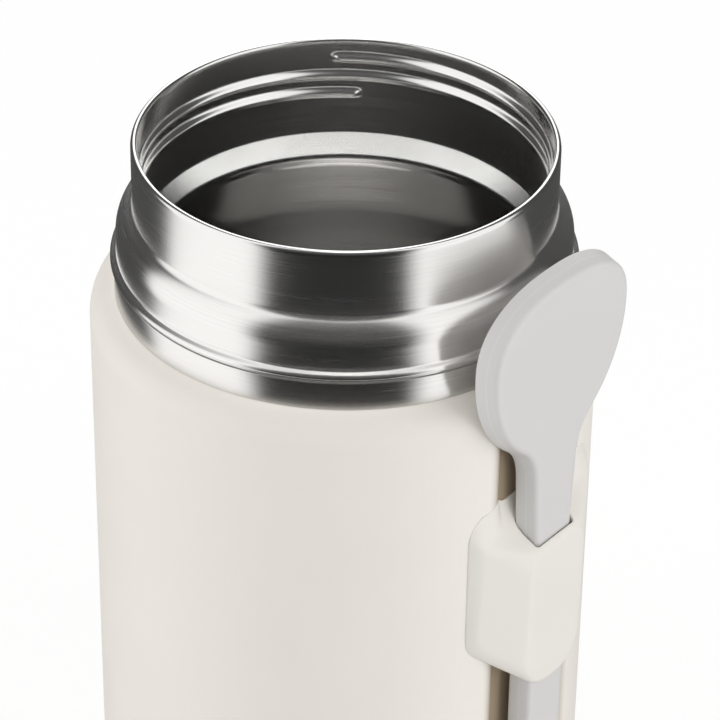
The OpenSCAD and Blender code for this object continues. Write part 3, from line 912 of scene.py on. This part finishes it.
# what metal reflects, in degrees: right of the camera and upwards are positive
LEFT_START, LEFT_END = (-110, -100), (-51, -37)
RIGHT_START, RIGHT_END = (29, 43), (92, 98)
BOX_LEVEL = 1.6
BEHIND_LEVEL = 0.10
AWAY_FROM = (158, 172)
AWAY_RISE = (-8, 4, 0.0, 2.6)
FRONT_RISE = (-10, 14, 0.03, 0.13)
OVERHEAD = (77, 87, 0.0, 2.6)
INSIDE_RISE = (-20, 5, 0.10, 3.0)
INSIDE_DEPTH = 2.5
FILL = 0.80


class JAR_OT_stage(bpy.types.Operator):
    """Floor, studio light and camera"""
    bl_idname = "jar.stage"
    bl_label = "Stage"

    def execute(self, context):
        stage = context.scene.jar_stage
        self.floor()
        self.lamps(stage)
        self.surround(context.scene, stage)
        self.camera(context.scene, stage)
        return {"FINISHED"}

    def floor(self):
        shape = bmesh.new()
        bmesh.ops.create_grid(shape, x_segments=1, y_segments=1, size=3.0)
        floor = make_object("floor", shape)
        material, tree, shader = new_material("floor_white")
        shader.inputs["Base Color"].default_value = (0.9, 0.9, 0.9, 1.0)
        shader.inputs["Roughness"].default_value = 1.0
        shader.inputs["Specular IOR Level"].default_value = 0.0
        path = tree.nodes.new("ShaderNodeLightPath")
        glow = node_in(tree, "ShaderNodeEmission", Color=(1.0, 1.0, 1.0, 1.0), Strength=1.05)
        lift = tree.nodes.new("ShaderNodeMixShader")
        tree.links.new(math_node(tree, "MULTIPLY", path.outputs["Is Camera Ray"], 0.75),
                       lift.inputs["Fac"])
        tree.links.new(shader.outputs["BSDF"], lift.inputs[1])
        tree.links.new(glow.outputs[0], lift.inputs[2])
        output = next(made for made in tree.nodes if made.type == "OUTPUT_MATERIAL")
        tree.links.new(lift.outputs[0], output.inputs["Surface"])
        floor.data.materials.append(material)
        floor.visible_glossy = False

    def lamps(self, stage):
        for name, side, height, size, power in LAMPS:
            angle = stage.camera_turn + math.pi + math.radians(side)
            light = bpy.data.lights.new(name, "AREA")
            light.shape = "DISK"
            light.size = size
            light.energy = power
            lamp = bpy.data.objects.new(name, light)
            place = Vector((math.cos(angle), math.sin(angle), 0.0)) * LAMP_REACH
            place += Vector((0.0, 0.0, height))
            turned = (Vector(LAMP_AIM) - place).to_track_quat("-Z", "Y").to_matrix().to_4x4()
            lamp.matrix_world = Matrix.Translation(place) @ turned
            lamp.visible_glossy = False
            bpy.context.scene.collection.objects.link(lamp)

    def surround(self, scene, stage):
        world = bpy.data.worlds.new("studio")
        scene.world = world
        world.use_nodes = True
        world.cycles.sampling_method = "NONE"
        tree = world.node_tree
        tree.nodes.clear()
        output = tree.nodes.new("ShaderNodeOutputWorld")
        spread = node_in(tree, "ShaderNodeBackground", Color=(1.0, 1.0, 1.0, 1.0))
        tree.links.new(spread.outputs[0], output.inputs["Surface"])
        place = tree.nodes.new("ShaderNodeTexCoord")
        turn = node_in(tree, "ShaderNodeVectorRotate", rotation_type="Z_AXIS",
                       Angle=-(stage.camera_turn + math.pi))
        tree.links.new(place.outputs["Generated"], turn.inputs["Vector"])
        parts = tree.nodes.new("ShaderNodeSeparateXYZ")
        tree.links.new(turn.outputs[0], parts.inputs[0])
        # azimuth from the camera's side, right positive, in degrees
        azimuth = math_node(tree, "MULTIPLY",
                            math_node(tree, "ARCTAN2", parts.outputs["Y"], parts.outputs["X"]),
                            math.degrees(1.0))
        height = math_node(tree, "MULTIPLY", math_node(tree, "ARCSINE", parts.outputs["Z"]),
                           math.degrees(1.0))

        def step(value, *levels):
            return ramp(tree, value, *levels)

        def drop(value, *levels):
            return ramp(tree, value, *levels, 1.0, 0.0)

        def product(*masks):
            return chain(tree, "MULTIPLY", *masks)

        def total(*masks):
            return chain(tree, "ADD", *masks)

        def either(first, second):
            return math_node(tree, "ADD", first, second, clamp=True)

        def without(mask):
            return math_node(tree, "SUBTRACT", 1.0, mask)

        left = product(step(azimuth, *LEFT_START), drop(azimuth, *LEFT_END))
        right = product(step(azimuth, *RIGHT_START), drop(azimuth, *RIGHT_END))
        boxes = either(left, right)
        behind = either(drop(azimuth, *LEFT_START), step(azimuth, *RIGHT_END))
        front = without(either(boxes, behind))
        away = step(math_node(tree, "ABSOLUTE", azimuth), *AWAY_FROM)
        seen = total(
            product(boxes, BOX_LEVEL),
            product(behind, total(product(away, step(height, *AWAY_RISE)), BEHIND_LEVEL)),
            product(front, step(height, *FRONT_RISE)),
            step(height, *OVERHEAD))
        path = tree.nodes.new("ShaderNodeLightPath")
        # rays with three or more bounces, which mostly leave through the mouth
        inside = math_node(tree, "GREATER_THAN", path.outputs["Ray Depth"], INSIDE_DEPTH)
        seen = total(product(seen, without(inside)), product(inside, step(height, *INSIDE_RISE)))
        glossy = path.outputs["Is Glossy Ray"]
        plain = math_node(tree, "MULTIPLY_ADD", path.outputs["Is Camera Ray"], 1.0 - FILL, FILL)
        level = total(product(glossy, seen), product(without(glossy), plain))
        tree.links.new(level, spread.inputs["Strength"])

    def camera(self, scene, stage):
        down = stage.camera_height
        turn = stage.camera_turn
        ahead = Vector((math.cos(turn) * math.cos(down), math.sin(turn) * math.cos(down),
                        -math.sin(down)))
        right = Vector((math.sin(turn), -math.cos(turn), 0.0))
        up = right.cross(ahead)
        roll = stage.camera_roll
        side = math.cos(roll) * right + math.sin(roll) * up
        top = -math.sin(roll) * right + math.cos(roll) * up
        lens = bpy.data.cameras.new("camera")
        lens.lens = stage.lens
        lens.sensor_width = 36.0
        lens.clip_start = 0.01
        lens.clip_end = 20.0
        camera = bpy.data.objects.new("camera", lens)
        turned = Matrix((side, top, -ahead)).transposed().to_4x4()
        place = Vector(stage.aim) - stage.distance * ahead
        camera.matrix_world = Matrix.Translation(place) @ turned
        scene.collection.objects.link(camera)
        scene.camera = camera


class JAR_PT_panel(bpy.types.Panel):
    """Settings and buttons of the food jar"""
    bl_idname = "JAR_PT_panel"
    bl_label = "Food Jar"
    bl_space_type = "VIEW_3D"
    bl_region_type = "UI"
    bl_category = "Food Jar"

    def draw(self, context):
        for operator in OPERATORS:
            self.layout.operator(operator.bl_idname)
        for name in SETTINGS:
            group = getattr(context.scene, name)
            box = self.layout.box()
            for key in group.bl_rna.properties.keys():
                if key not in {"rna_type", "name"}:
                    box.prop(group, key)


OPERATORS = (JAR_OT_stage, JAR_OT_shell, JAR_OT_neck, JAR_OT_vessel, JAR_OT_base, JAR_OT_holder,
             JAR_OT_spoon)
SETTINGS = {"jar_neck": NeckSizes, "jar_vessel": VesselSizes, "jar_holder": HolderSizes,
            "jar_finish": JarFinish, "jar_stage": JarStage}


def register():
    for item in (*SETTINGS.values(), *OPERATORS, JAR_PT_panel):
        bpy.utils.register_class(item)
    for name, group in SETTINGS.items():
        setattr(bpy.types.Scene, name, PointerProperty(type=group))


def unregister():
    for name in SETTINGS:
        delattr(bpy.types.Scene, name)
    for item in reversed((*SETTINGS.values(), *OPERATORS, JAR_PT_panel)):
        bpy.utils.unregister_class(item)


def main():
    register()
    bpy.context.scene.view_settings.view_transform = "Standard"
    for operator in OPERATORS:
        getattr(bpy.ops.jar, operator.bl_idname.split(".")[1])()


if __name__ == "__main__":
    main()
